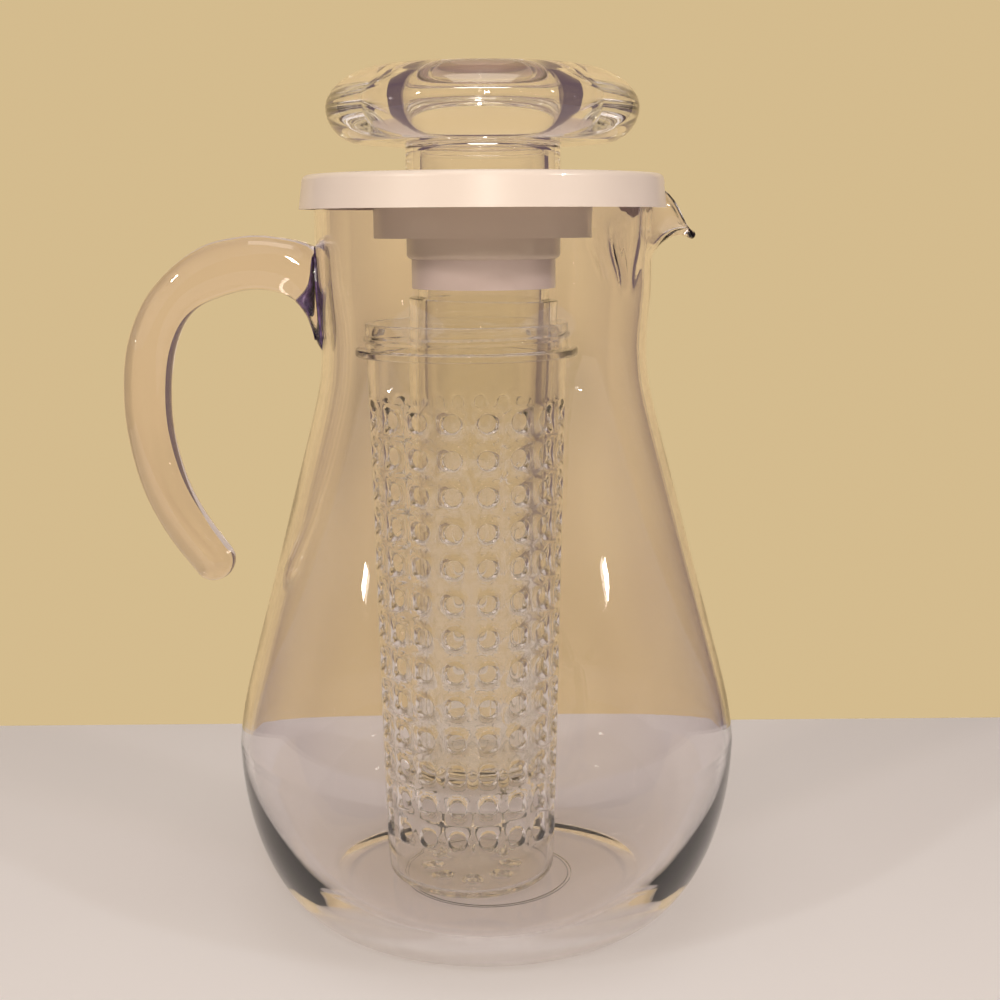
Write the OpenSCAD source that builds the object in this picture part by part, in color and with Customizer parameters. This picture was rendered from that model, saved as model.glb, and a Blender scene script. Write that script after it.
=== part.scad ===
// Clear pitcher with a lift-off lid, a chilling core that hangs under the lid,
// and a perforated infuser that stands loose inside the jug.
// The origin is the centre of the underside, on the jug's own axis, with +Z up.
// The handle lies towards -X and the spout towards +X.

/* [Jug] */
// Height of the rim above the underside
jug_h = 251; // [245:0.5:262]
// Widest diameter of the belly
belly_d = 173.6; // [168:0.2:186]
// Height of the belly's widest ring
belly_z = 62; // [56:1:70]
// Narrowest diameter, just under the handle
waist_d = 110; // [109:0.5:111.5]
// Drop from the rim to the waist
waist_drop = 54; // [49:1:59]
// Diameter of the straight neck
neck_d = 113; // [112.4:0.2:114]
// Diameter of the flat underside
base_d = 116; // [108:1:124]
// Diameter of the flat floor inside
floor_d = 96; // [90:1:104]
// Thickness of the wall
jug_wall = 2.8; // [2.4:0.1:3.2]
// Thickness of the floor at its middle
floor_t = 3; // [2.4:0.2:4]
// Diameter of the locating ring moulded under the floor
foot_ring_d = 61; // [50:1:80]
// Width of that ring
foot_ring_w = 1.6; // [1:0.2:2.4]
// Depth of that ring
foot_ring_depth = 0.8; // [0.4:0.1:1.2]

/* [Spout] */
// How far the tip stands out from the neck
spout_reach = 13; // [9:0.5:15]
// How far the tip lies below the rim
spout_drop = 17.6; // [12:0.2:20]
// How far below the rim the neck starts to swell
spout_root = 27; // [24:1:31]
// Half width of the beak, as an angle about the jug's axis
spout_angle = 8.7; // [7:0.1:8.9]
// Depth of the dent beside the beak
pinch_depth = 2.4; // [0:0.2:3]
// Angle from the beak to each dent
pinch_angle = 29; // [26:1:32]

/* [Handle] */
// How far the handle stands out from the neck
handle_reach = 66.7; // [60:0.5:75]
// Height from the tip to the top of the bend
handle_h = 118.8; // [110:0.5:130]
// Drop from the rim to the top of the bend
handle_drop = 15.8; // [14:0.2:20]
// Depth of the bar, across the plane of the bend
handle_depth = 18; // [14:0.5:22]
// Thickness of the cement between the handle and the neck
bond_t = 0.5; // [0.3:0.1:0.8]

/* [Lid] */
// Diameter of the skirt at its lower edge
lid_d = 123.2; // [123:0.1:126]
// Height of the lid's side
lid_h = 11.1; // [9:0.1:13]
// Thickness of the top plate
lid_plate = 3.4; // [2.4:0.2:4.4]
// Thickness of the skirt
skirt_wall = 2.3; // [1.8:0.1:2.3]
// Narrowing of the side from its lower edge to the top
lid_draft = 1.1; // [0:0.1:1.3]
// Radius of the top edge
lid_edge = 2.2; // [1:0.2:2.4]
// Width of the notch that lets the spout through
notch_w = 23.6; // [23.4:0.2:26]
// Height of the ring that centres the lid in the neck
locate_h = 5; // [3:0.5:7]
// Thickness of that ring
locate_wall = 2; // [1.4:0.2:3]

/* [Hub] */
// Outer diameter of the threaded ring that takes the infuser
ring_d = 74; // [73.9:0.1:78]
// Depth of that ring below the lid's plate
ring_h = 17.3; // [15:0.1:20]
// Widening of that ring's mouth, so that the infuser finds it
mouth_lead = 0.6; // [0.5:0.1:0.8]
// Outer diameter of the lower ring that takes the core's cap
collar_d = 52; // [50.5:0.5:54]
// Length of the lower ring below the upper one
collar_h = 7; // [5:0.5:9]
// Radius of the lower ring's edge
collar_edge = 1.8; // [1:0.2:2.4]
// Thickness of the hub's plate
hub_plate = 3; // [2:0.2:4]

/* [Knob] */
// Outer diameter of the knob
knob_d = 104.2; // [98:0.2:110]
// Height of the knob's rounded ring
knob_h = 24; // [22:0.2:26]
// Diameter of the ring's crest
crest_d = 68; // [62:0.5:72]
// Radius of the ring's lower edge
knob_bend = 11.6; // [10:0.2:12.6]
// Height of the neck between the lid and the knob
knob_neck_h = 10.3; // [7:0.1:14]
// Outer diameter of the neck
knob_neck_d = 51.8; // [50:0.2:54]
// Inner diameter of the neck
knob_bore_d = 41.6; // [38:0.2:42]
// Diameter of the finger well
well_d = 54; // [48:0.5:56]
// Thickness under the finger well
well_floor = 3; // [2:0.2:4]
// Diameter of the threaded end below the neck
spigot_d = 44.8; // [44:0.1:45.4]
// Length of the threaded end
spigot_h = 13.4; // [10:0.2:14.4]

/* [Core] */
// Outer diameter of the core's cap
cap_d = 48.7; // [48.6:0.1:50]
// Height of the cap's visible part
cap_h = 9.7; // [9:0.1:12]
// Depth that the tube goes up into the cap
tube_in = 6.3; // [5:0.1:7]
// Outer diameter of the tube's neck
tube_d = 44.3; // [43.6:0.1:44.6]
// Thickness of the tube's wall
tube_wall = 3; // [2.4:0.1:3.6]
// Thickness of the washer on the tube's mouth
seal_t = 1.1; // [0.8:0.1:1.3]
// Outer diameter of the sleeve at its mouth
sleeve_d = 50.5; // [50.3:0.1:51.5]
// Outer diameter of the sleeve at its closed end
sleeve_end_d = 45.5; // [43:0.1:46.4]
// Thickness of the sleeve's wall
sleeve_wall = 2.7; // [2.2:0.1:2.7]
// Gap between the cap and the sleeve's mouth
sleeve_drop = 3.6; // [2:0.1:5]
// Angle at which the core hangs away from upright
core_lean = 1.4; // [0:0.1:1.5]

/* [Infuser] */
// Outer diameter at the closed end
infuser_end_d = 60.2; // [59.6:0.1:62]
// Outer diameter just under the flange
infuser_d = 68.2; // [67.8:0.1:69]
// Outer diameter of the threaded rim
infuser_rim_d = 69.2; // [68.8:0.1:69.4]
// Thickness of the wall
infuser_wall = 2.2; // [1.8:0.1:2.4]
// Thickness of the closed end
infuser_floor = 3.2; // [2.4:0.1:4]
// Outer radius of the closed end's edge
infuser_edge = 5; // [3:0.5:6]
// Height of the rim above the flange
infuser_rim_h = 8.5; // [6:0.1:10]
// Diameter of the flange
flange_d = 76; // [74:0.1:80]
// Thickness of the flange
flange_t = 2.6; // [1.6:0.1:3.4]
// How far the infuser rises from the jug's floor to its ring
infuser_rise = 36.6; // [34:0.2:40]
// How far the standing infuser is off the jug's axis, towards the handle
infuser_shift = 6; // [0:0.1:6.2]
// Height of the thread's ridge
thread_h = 0.65; // [0.45:0.05:0.7]
// Width of the chamfer on the rim's upper edge
rim_lead = 0.7; // [0.5:0.1:0.9]
// Diameter of the holes
hole_d = 6; // [4:0.2:7]
// Number of columns of holes
hole_columns = 18; // [12:1:20]
// Number of rows of holes
hole_rows = 13; // [8:1:14]
// Height of the lowest row above the closed end
hole_start = 26.3; // [20:0.1:30]
// Drop from the flange to the highest row
hole_drop = 20; // [16:0.5:26]
// Number of holes in the closed end
end_holes = 8; // [4:1:10]
// Diameter of the circle of holes in the closed end
end_ring_d = 29; // [24:0.5:34]

/* [Fits] */
// Gap between pieces that only rest on each other
rest_gap = 0.3; // [0.2:0.05:0.4]
// Gap round a threaded piece
thread_gap = 0.1; // [0.05:0.05:0.15]
// Gap round the infuser's thread in its ring
socket_gap = 0.55; // [0.5:0.05:0.6]
// Gap round the core's tube
tube_gap = 0.3; // [0.25:0.05:0.4]
// Gap round the lid's locating ring
locate_gap = 0.9; // [0.8:0.1:1.4]

/* [Hidden] */
$fn = 96;
// Overrun of a cut past the face that it opens
over = 1;
// Points on a quarter of a rounded corner
corner_steps = 8;
// Points on the belly's lower quarter
belly_steps = 22;

// Radii and heights of the jug
belly_r = belly_d / 2;
waist_r = waist_d / 2;
neck_r = neck_d / 2;
mouth_r = neck_r - jug_wall;
rim_r = jug_wall / 2;
waist_z = jug_h - waist_drop;
// Lap of the spout's part of the neck into the plain neck below it, and beside it as an angle
patch_lap = 1.5;
lap_angle = 1.5;
// The neck is straight from just below the spout
neck_z = jug_h - spout_root - 2 * patch_lap;

// Roundness of the belly's lower quarter
belly_bend_share = 1.75;
// Outline from the belly up to the waist: shares of the rise and of the draw-in
shoulder_shares = [[0, 0], [0.1, 0.066], [0.28, 0.264], [0.47, 0.483], [0.65, 0.682],
    [0.8, 0.852], [0.88, 0.935], [0.94, 0.982], [1, 1]];
shoulder_steps = 4;
neck_steps = 10;

// Point at a share of the way along a smooth curve through the points before and after it
function smooth_point(a, b, c, d, t) =
    0.5 * (2 * b + t * (c - a) + t * t * (2 * a - 5 * b + 4 * c - d) + t * t * t * (3 * b - a - 3 * c + d));
// Smooth curve through a list of points, with the given steps between neighbours
function smooth_path(p, steps) = [
    for (i = [0 : len(p) - 2])
        for (k = [0 : steps - 1])
            smooth_point(p[max(i - 1, 0)], p[i], p[i + 1], p[min(i + 2, len(p) - 1)], k / steps),
    p[len(p) - 1]];
// Arc about a centre, from one angle to another
function arc(c, r, from, to, steps = corner_steps) = [
    for (i = [0 : steps]) [c[0] + r * cos(from + (to - from) * i / steps), c[1] + r * sin(from + (to - from) * i / steps)]];
// Lower quarter of the belly, from a flat radius at a height to the widest ring
function belly_curve(flat_r, low_z, wide_r) = [
    for (i = [0 : belly_steps])
        let (a = 90 * i / belly_steps)
        [flat_r + (wide_r - flat_r) * pow(sin(a), 2 / belly_bend_share), low_z + (belly_z - low_z) * (1 - cos(a))]];
// Side of the jug from the belly to the rim, drawn in by an inset
function jug_side(inset) = concat(
    [for (p = smooth_path(shoulder_shares, shoulder_steps))
        [belly_r - inset - (belly_r - waist_r) * p[1], belly_z + (waist_z - belly_z) * p[0]]],
    [for (i = [1 : neck_steps])
        let (t = i / neck_steps)
        [waist_r - inset + (neck_r - waist_r) * t * t * (3 - 2 * t), waist_z + (neck_z - waist_z) * t]]);

// Outer outline of the jug, grown by a skin
function jug_outline(skin) = concat(
    [[0, 0]],
    belly_curve(base_d / 2 + skin, 0, belly_r + skin),
    jug_side(-skin));

// Wall of the jug as one turned shell
module jug_shell() {
    rotate_extrude()
        polygon(concat(
            jug_outline(0),
            arc([mouth_r + rim_r, jug_h - rim_r], rim_r, 0, 180),
            [for (i = [len(jug_side(jug_wall)) - 1 : -1 : 1]) jug_side(jug_wall)[i]],
            [for (i = [belly_steps : -1 : 0]) belly_curve(floor_d / 2, floor_t, belly_r - jug_wall)[i]],
            [[0, floor_t]]));
}

// Half angle of the part of the neck that the spout reshapes
patch_angle = 47;
// How far its faces lie inside the plain wall where they lap
patch_skin = 0.05;
patch_columns = 40;
patch_rows = 12;
lip_steps = 4;
// Spacing of the columns: closer together towards the beak
patch_power = 1.5;
// Sharpness of the beak's sides, and how its lip falls away between them
beak_power = 3;
lip_power = 2.5;
// Outline of the beak's underside: shares of the reach, and of the height from its root to its tip
beak_shares = [[0, 0], [0.02, 0.37], [0.18, 0.69], [0.4, 0.96], [0.65, 1.1], [0.88, 1.085], [1, 1]];
beak_curve = smooth_path(beak_shares, 6);
// Spread of a dent to each side, as a share of its angle
pinch_spread_share = 0.24;
// Extra width of the swelling at the foot of the spout, as a share of the beak's
root_spread_share = 0.7;
// Step for the slopes of the spout's face, as a share
slope_share = 0.01;

function sharp(v, p) = pow(abs(v), p) * sign(v);
function patch_theta(i) = (patch_angle + lap_angle) * sharp(2 * i / patch_columns - 1, patch_power);
function beak_weight(a, s) = exp(-pow(abs(a) / (spout_angle * (1 + root_spread_share * (1 - s))), beak_power));
function beak_at(s) =
    let (k = s * (len(beak_curve) - 1), i = min(floor(k), len(beak_curve) - 2))
    beak_curve[i] + (beak_curve[i + 1] - beak_curve[i]) * (k - i);
function dent(a, s) =
    pinch_depth * exp(-pow((abs(a) - pinch_angle) / (pinch_angle * pinch_spread_share), 2)) * pow(sin(180 * s), 2);
function turned(r, z, a) = [r * cos(a), r * sin(a), z];
// Point on the spout's outer face, at an angle and a share of the way up
function spout_point(a, s) =
    let (w = beak_weight(a, s), b = beak_at(s), plain = jug_h - spout_root + (spout_root - rim_r) * s,
        beak = jug_h - spout_root + (spout_root - spout_drop) * b[1])
    turned(neck_r + spout_reach * b[0] * w - dent(a, s), plain + (beak - plain) * pow(w, lip_power), a);
function spout_up(a, s) =
    let (d = spout_point(a, min(s + slope_share, 1)) - spout_point(a, max(s - slope_share, 0)))
    d / norm(d);
function spout_along(a, s) = spout_point(a + slope_share * patch_angle, s) - spout_point(a - slope_share * patch_angle, s);
function spout_out(a, s) =
    let (n = cross(spout_along(a, s), spout_up(a, s)))
    n / norm(n);
// Points across one column: up the outer face, over the rounded lip and down the inner face
function patch_column(a) =
    let (out = spout_out(a, 1), up = spout_up(a, 1), half = rim_r - patch_skin)
    concat(
        [turned(neck_r - patch_skin, neck_z + patch_lap, a)],
        [for (j = [0 : patch_rows]) spout_point(a, j / patch_rows) - spout_out(a, j / patch_rows) * patch_skin],
        [for (k = [1 : lip_steps - 1])
            spout_point(a, 1) - out * rim_r + (out * cos(180 * k / lip_steps) + up * sin(180 * k / lip_steps)) * half],
        [for (j = [patch_rows : -1 : 0])
            spout_point(a, j / patch_rows) - spout_out(a, j / patch_rows) * (jug_wall - patch_skin)],
        [turned(mouth_r + patch_skin, neck_z + patch_lap, a)]);

// Part of the neck that is drawn out into the beak and dented beside it
module spout_patch() {
    n = 2 * patch_rows + lip_steps + 3;
    points = [for (i = [0 : patch_columns]) each patch_column(patch_theta(i))];
    sides = [for (i = [0 : patch_columns - 1]) for (j = [0 : n - 1])
        let (a = i * n + j, b = i * n + (j + 1) % n, c = a + n, d = b + n)
        each [[a, b, d], [a, d, c]]];
    ends = [
        [for (j = [n - 1 : -1 : 0]) j],
        [for (j = [0 : n - 1]) patch_columns * n + j]];
    polyhedron(points, concat(sides, ends), convexity = 8);
}

// Wedge of the neck that the spout replaces
module patch_window() {
    translate([0, 0, jug_h - spout_root])
        rotate([0, 0, -patch_angle])
            rotate_extrude(angle = 2 * patch_angle)
                translate([mouth_r / 2, 0])
                    square([neck_r, spout_root + over]);
}

module jug_body() {
    color([0.86, 0.85, 0.8, 0.4])
        difference() {
            union() {
                difference() {
                    jug_shell();
                    patch_window();
                }
                spout_patch();
            }
            translate([0, 0, -over])
                difference() {
                    cylinder(d = foot_ring_d + foot_ring_w, h = over + foot_ring_depth);
                    cylinder(d = foot_ring_d - foot_ring_w, h = over + foot_ring_depth);
                }
        }
}

// Handle: edges of the bar as shares of its reach out from the neck and of its height down
// from the top of the bend, each pair being the outer and the inner edge at one place
handle_shares = [
    [[-0.06, 0.045], [-0.06, 0.355]],
    [[0.02, 0.028], [0, 0.31]],
    [[0.09, 0.015], [0.046, 0.237]],
    [[0.181, 0.006], [0.124, 0.18]],
    [[0.277, 0], [0.231, 0.157]],
    [[0.382, 0.003], [0.345, 0.154]],
    [[0.55, 0.024], [0.472, 0.17]],
    [[0.72, 0.083], [0.604, 0.202]],
    [[0.877, 0.181], [0.687, 0.254]],
    [[0.972, 0.309], [0.742, 0.34]],
    [[1, 0.453], [0.765, 0.452]],
    [[0.981, 0.589], [0.757, 0.567]],
    [[0.916, 0.734], [0.7, 0.699]],
    [[0.802, 0.864], [0.61, 0.806]],
    [[0.657, 0.975], [0.487, 0.907]]];
handle_steps = 3;
handle_sides = 24;
// Squareness of the bar's section, where 2 is an ellipse
handle_section_power = 2.6;
tip_steps = 5;

// Place in the plane of the handle, from shares
function handle_point(p) = [-(neck_r + handle_reach * p[0]), jug_h - handle_drop - handle_h * p[1]];
handle_outer = smooth_path([for (p = handle_shares) handle_point(p[0])], handle_steps);
handle_inner = smooth_path([for (p = handle_shares) handle_point(p[1])], handle_steps);
handle_last = len(handle_outer) - 1;
// Section across the bar between an outer and an inner edge point
function handle_ring(o, i, depth) = [
    for (k = [0 : handle_sides - 1])
        let (a = 360 * k / handle_sides, u = sharp(cos(a), 2 / handle_section_power),
            v = sharp(sin(a), 2 / handle_section_power), m = (o + i) / 2, h = (o - i) / 2)
        [m[0] + h[0] * u, depth / 2 * v, m[1] + h[1] * u]];
// Rounded end of the bar
tip_o = handle_outer[handle_last];
tip_i = handle_inner[handle_last];
tip_r = norm(tip_o - tip_i) / 2;
tip_dir = [tip_o[1] - tip_i[1], tip_i[0] - tip_o[0]] / norm(tip_o - tip_i);
function tip_ring(k) =
    let (a = 90 * k / tip_steps, c = (tip_o + tip_i) / 2 - tip_dir * tip_r * sin(a), h = (tip_o - tip_i) / 2 * cos(a))
    handle_ring(c + h, c - h, handle_depth * cos(a));
tip_end_share = 0.97;
// Hair's breadth between the cement and the jug's wall
bond_touch = 0.02;

// Bent bar of the handle, running into the neck
module handle_bar() {
    rings = concat(
        [for (k = [0 : handle_last]) handle_ring(handle_outer[k], handle_inner[k], handle_depth)],
        [for (k = [1 : tip_steps]) tip_ring(k * tip_end_share)]);
    n = handle_sides;
    last = len(rings) - 1;
    points = [for (r = rings) each r];
    sides = [for (i = [0 : last - 1]) for (j = [0 : n - 1])
        let (a = i * n + j, b = i * n + (j + 1) % n, c = a + n, d = b + n)
        each [[a, d, b], [a, c, d]]];
    ends = [
        [for (j = [0 : n - 1]) j],
        [for (j = [n - 1 : -1 : 0]) last * n + j]];
    polyhedron(points, concat(sides, ends), convexity = 6);
}

// Solid of the jug's outside, grown by a skin
module jug_solid(skin) {
    rotate_extrude()
        polygon(concat(jug_outline(skin), [[neck_r + skin, jug_h], [0, jug_h]]));
}

module handle() {
    color([0.86, 0.84, 0.8, 0.5])
        difference() {
            handle_bar();
            jug_solid(bond_t);
        }
}

// Cement that holds the handle's root to the neck
module handle_bond() {
    color([0.22, 0.14, 0.34])
        difference() {
            intersection() {
                handle_bar();
                jug_solid(bond_t);
            }
            jug_solid(bond_touch);
        }
}

// Heights of the lid and of what hangs from it
lid_under = jug_h + rest_gap;
lid_top = lid_under + lid_plate;
skirt_low = lid_top - lid_h;
skirt_r = lid_d / 2;
ring_low = lid_under - ring_h;
collar_low = ring_low - collar_h;
cap_low = collar_low - cap_h;
spigot_r = spigot_d / 2;
hub_bore_r = spigot_r + thread_gap;

module lid() {
    locate_r = mouth_r - locate_gap;
    color([0.93, 0.9, 0.88])
        difference() {
            rotate_extrude()
                polygon(concat(
                    [[spigot_r + thread_gap, lid_under], [spigot_r + thread_gap, lid_top]],
                    arc([skirt_r - lid_draft - lid_edge, lid_top - lid_edge], lid_edge, 90, 0),
                    [[skirt_r, skirt_low], [skirt_r - skirt_wall, skirt_low], [skirt_r - skirt_wall, lid_under],
                    [locate_r, lid_under], [locate_r, lid_under - locate_h],
                    [locate_r - locate_wall, lid_under - locate_h], [locate_r - locate_wall, lid_under]]));
            translate([mouth_r + locate_wall, -notch_w / 2, skirt_low - over])
                cube([skirt_r, notch_w, lid_under - skirt_low + over]);
        }
}

ring_r = ring_d / 2;
collar_r = collar_d / 2;
socket_r = infuser_rim_d / 2 + thread_h + socket_gap;
mouth_lead_h = 2;

module hub() {
    color([0.9, 0.87, 0.86])
        rotate_extrude()
            polygon(concat(
                [[hub_bore_r, lid_under], [ring_r, lid_under], [ring_r, ring_low],
                [socket_r + mouth_lead, ring_low], [socket_r, ring_low + mouth_lead_h],
                [socket_r, lid_under - hub_plate], [collar_r, lid_under - hub_plate]],
                arc([collar_r - collar_edge, collar_low + collar_edge], collar_edge, 0, -90),
                [[hub_bore_r, collar_low]]));
}

// Heights and radii of the knob
knob_low = lid_top + knob_neck_h;
knob_mid = knob_low + knob_bend;
knob_top = knob_low + knob_h;
knob_r = knob_d / 2;
crest_r = crest_d / 2;
// Fullness of the ring's upper curve, where 2 is an ellipse
crest_power = 1.8;
bore_r = knob_bore_d / 2;
well_r = well_d / 2;
// Depth of the well's rounded lip, and radius of the rounding at its bottom
well_lip = 2 * well_floor;
well_bend = 2 * well_floor;
bore_bend = well_floor;
knob_steps = 2 * corner_steps;

module knob() {
    color([0.9, 0.88, 0.85, 0.4])
        rotate_extrude()
            polygon(concat(
                [[bore_r, lid_top - spigot_h], [spigot_r, lid_top - spigot_h], [spigot_r, lid_top],
                [knob_neck_d / 2, lid_top], [knob_neck_d / 2, knob_low]],
                arc([knob_r - knob_bend, knob_mid], knob_bend, -90, 0, knob_steps),
                [for (i = [1 : knob_steps])
                    let (a = 90 * i / knob_steps, p = 2 / crest_power)
                    [crest_r + (knob_r - crest_r) * pow(cos(a), p), knob_mid + (knob_top - knob_mid) * pow(sin(a), p)]],
                [for (i = [1 : corner_steps])
                    let (a = 90 * i / corner_steps)
                    [crest_r - (crest_r - well_r) * sin(a), knob_top - well_lip * (1 - cos(a))]],
                arc([well_r - well_bend, knob_low + well_floor + well_bend], well_bend, 0, -90),
                [[0, knob_low + well_floor], [0, knob_low]],
                arc([bore_r - bore_bend, knob_low - bore_bend], bore_bend, 90, 0)));
}

// The cap's seat over the tube's mouth, and the plug that screws into the hub
tube_r = tube_d / 2;
cap_bore_r = tube_r + tube_gap;
tube_top = cap_low + tube_in;
// Clear height over the washer, so that the leaning tube's rim stays off the seat
seat_gap = tube_r * sin(core_lean) + rest_gap / 2;
cap_seat = tube_top + seal_t + seat_gap;
plug_top = lid_top - spigot_h - rest_gap;
plug_hollow_r = tube_r - tube_wall;
plug_roof = tube_wall;

module core_cap() {
    color([0.88, 0.85, 0.85])
        rotate_extrude()
            polygon([[0, plug_top], [spigot_r, plug_top], [spigot_r, collar_low], [cap_d / 2, collar_low],
                [cap_d / 2, cap_low], [cap_bore_r, cap_low], [cap_bore_r, cap_seat], [plug_hollow_r, cap_seat],
                [plug_hollow_r, plug_top - plug_roof], [0, plug_top - plug_roof]]);
}

// The core hangs about a point on the axis halfway up its hold in the cap
pivot_z = cap_low + tube_in / 2;
sleeve_top = cap_low - sleeve_drop;
// Clear height between the raised infuser's floor and the sleeve
core_foot_gap = 2.4;
infuser_low = floor_t + rest_gap;
sleeve_low = infuser_low + infuser_rise + infuser_floor + core_foot_gap;
sleeve_r = sleeve_d / 2;
sleeve_end_r = sleeve_end_d / 2;
sleeve_edge = sleeve_wall;
tube_low = sleeve_low + sleeve_wall + tube_gap;
tube_end_r = sleeve_end_r - sleeve_wall - tube_gap;

// Places what is drawn upright into the core's leaning position
module hung() {
    translate([0, 0, pivot_z])
        rotate([0, core_lean, 0])
            translate([0, 0, -pivot_z])
                children();
}

// Closed tube that narrows downwards: outer radii at its top and its end, walls and heights
module cup(top_r, end_r, wall, low, shoulder, top, edge) {
    rotate_extrude()
        polygon(concat(
            [[0, low]],
            arc([end_r - edge, low + edge], edge, -90, 0),
            [[top_r, shoulder], [top_r, top], [top_r - wall, top], [top_r - wall, shoulder]],
            arc([end_r - wall - edge / 2, low + wall + edge / 2], edge / 2, 0, -90),
            [[0, low + wall]]));
}

module core_tube() {
    color([0.88, 0.88, 0.84, 0.4])
        hung()
            cup(tube_r, tube_end_r, tube_wall, tube_low, sleeve_top, tube_top, sleeve_edge);
}

module core_sleeve() {
    color([0.9, 0.88, 0.84, 0.4])
        hung()
            cup(sleeve_r, sleeve_end_r, sleeve_wall, sleeve_low, sleeve_top - over, sleeve_top, sleeve_edge);
}

module core_seal() {
    color([0.82, 0.82, 0.8])
        hung()
            translate([0, 0, tube_top])
                difference() {
                    cylinder(r = tube_r, h = seal_t);
                    translate([0, 0, -over])
                        cylinder(r = tube_r - tube_wall, h = seal_t + 2 * over);
                }
}

// Heights of the standing infuser
flange_top = ring_low - infuser_rise;
infuser_top = flange_top + infuser_rim_h;
flange_low = flange_top - flange_t;
infuser_end_r = infuser_end_d / 2;
infuser_r = infuser_d / 2;
rim_out_r = infuser_rim_d / 2;
rim_in_r = infuser_r - infuser_wall;

// Thread ridge round the rim
thread_turns_share = 1.15;
thread_steps = 56;
thread_w = 2 * thread_h;
thread_rise = 3.2;
thread_low = flange_top + thread_w + rest_gap;
// Height of the ridge as a share: its ends run out below the rim's surface
function thread_end_share(i) = min(1, (min(i, thread_steps - i) - 0.5) / 4);
module thread_ridge() {
    base = rim_out_r - infuser_wall / 2;
    points = [for (i = [0 : thread_steps])
        let (a = 360 * thread_turns_share * i / thread_steps, z = thread_low + thread_rise * i / thread_steps,
            r = rim_out_r + thread_h * thread_end_share(i))
        each [[base * cos(a), base * sin(a), z - thread_w], [r * cos(a), r * sin(a), z - thread_w / 3],
            [r * cos(a), r * sin(a), z + thread_w / 3], [base * cos(a), base * sin(a), z + thread_w]]];
    sides = [for (i = [0 : thread_steps - 1]) for (j = [0 : 3])
        let (a = i * 4 + j, b = i * 4 + (j + 1) % 4, c = a + 4, d = b + 4)
        each [[a, b, d], [a, d, c]]];
    ends = [[3, 2, 1, 0], [for (j = [0 : 3]) thread_steps * 4 + j]];
    polyhedron(points, concat(sides, ends), convexity = 6);
}

// Turned shell of the infuser, on the jug's axis
module infuser_shell() {
    rotate_extrude()
        polygon(concat(
            [[0, infuser_low]],
            arc([infuser_end_r - infuser_edge, infuser_low + infuser_edge], infuser_edge, -90, 0),
            [[infuser_r, flange_low], [flange_d / 2, flange_low], [flange_d / 2, flange_top],
            [rim_out_r, flange_top], [rim_out_r, infuser_top - rim_lead], [rim_out_r - rim_lead, infuser_top],
            [rim_in_r, infuser_top], [rim_in_r, flange_low]],
            arc([infuser_end_r - infuser_edge, infuser_low + infuser_floor + infuser_edge - infuser_wall],
                infuser_edge - infuser_wall, 0, -90),
            [[0, infuser_low + infuser_floor]]));
}

// Phase of the columns of holes
hole_phase = 2;
hole_pitch = (flange_low - infuser_low - hole_start - hole_drop) / (hole_rows - 1);

module infuser_holes() {
    for (row = [0 : hole_rows - 1])
        for (column = [0 : hole_columns - 1])
            translate([0, 0, infuser_low + hole_start + row * hole_pitch])
                rotate([0, 90, hole_phase + 360 * column / hole_columns])
                    translate([0, 0, infuser_end_r - infuser_wall - 2 * over])
                        cylinder(d = hole_d, h = infuser_r - infuser_end_r + infuser_wall + 4 * over);
    for (k = [0 : end_holes - 1])
        rotate([0, 0, hole_phase + 360 * k / end_holes])
            translate([end_ring_d / 2, 0, infuser_low - over])
                cylinder(d = hole_d, h = infuser_floor + 2 * over);
}

module infuser() {
    color([0.9, 0.88, 0.82, 0.4])
        translate([-infuser_shift, 0, 0])
            difference() {
                union() {
                    infuser_shell();
                    thread_ridge();
                }
                infuser_holes();
            }
}

jug_body();
handle();
handle_bond();
lid();
hub();
knob();
core_cap();
core_seal();
core_tube();
core_sleeve();
infuser();
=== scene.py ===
# %% [markdown]
# # A clear pitcher with a chilling core and an infuser
# The pitcher is almost all clear plastic, so its look comes from smooth curved
# surfaces that bend the light, and not from painted colour. The solids from the
# CAD side have flat facets that would show in the refraction. So the clear
# pieces are turned again here, finely and with smooth shading, at the same sizes.

# %% Load the fixed frame
import math

import bmesh
import bpy
from mathutils import Matrix, Vector


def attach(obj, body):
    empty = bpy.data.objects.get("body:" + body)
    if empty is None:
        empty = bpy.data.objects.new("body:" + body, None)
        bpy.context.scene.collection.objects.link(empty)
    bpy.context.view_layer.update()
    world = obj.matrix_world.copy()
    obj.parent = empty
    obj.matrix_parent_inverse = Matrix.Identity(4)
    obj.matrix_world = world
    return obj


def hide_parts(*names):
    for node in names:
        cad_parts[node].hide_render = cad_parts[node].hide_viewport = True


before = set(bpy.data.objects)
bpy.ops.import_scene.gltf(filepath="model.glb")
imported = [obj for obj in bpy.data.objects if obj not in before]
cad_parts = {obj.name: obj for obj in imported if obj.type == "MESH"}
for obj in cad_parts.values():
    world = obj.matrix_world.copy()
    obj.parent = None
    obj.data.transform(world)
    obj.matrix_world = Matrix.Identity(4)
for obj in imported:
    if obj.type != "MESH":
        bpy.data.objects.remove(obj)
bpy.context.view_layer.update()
scene = bpy.context.scene

# %% [markdown]
# ## Camera
# The camera was fitted to the round edges of the lid, the hub, the infuser and
# the base: each is an ellipse whose flatness tells how far below the eye it lies.
# It stands 0.52 m away, level with the rim, and looks down by about ten degrees.

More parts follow.
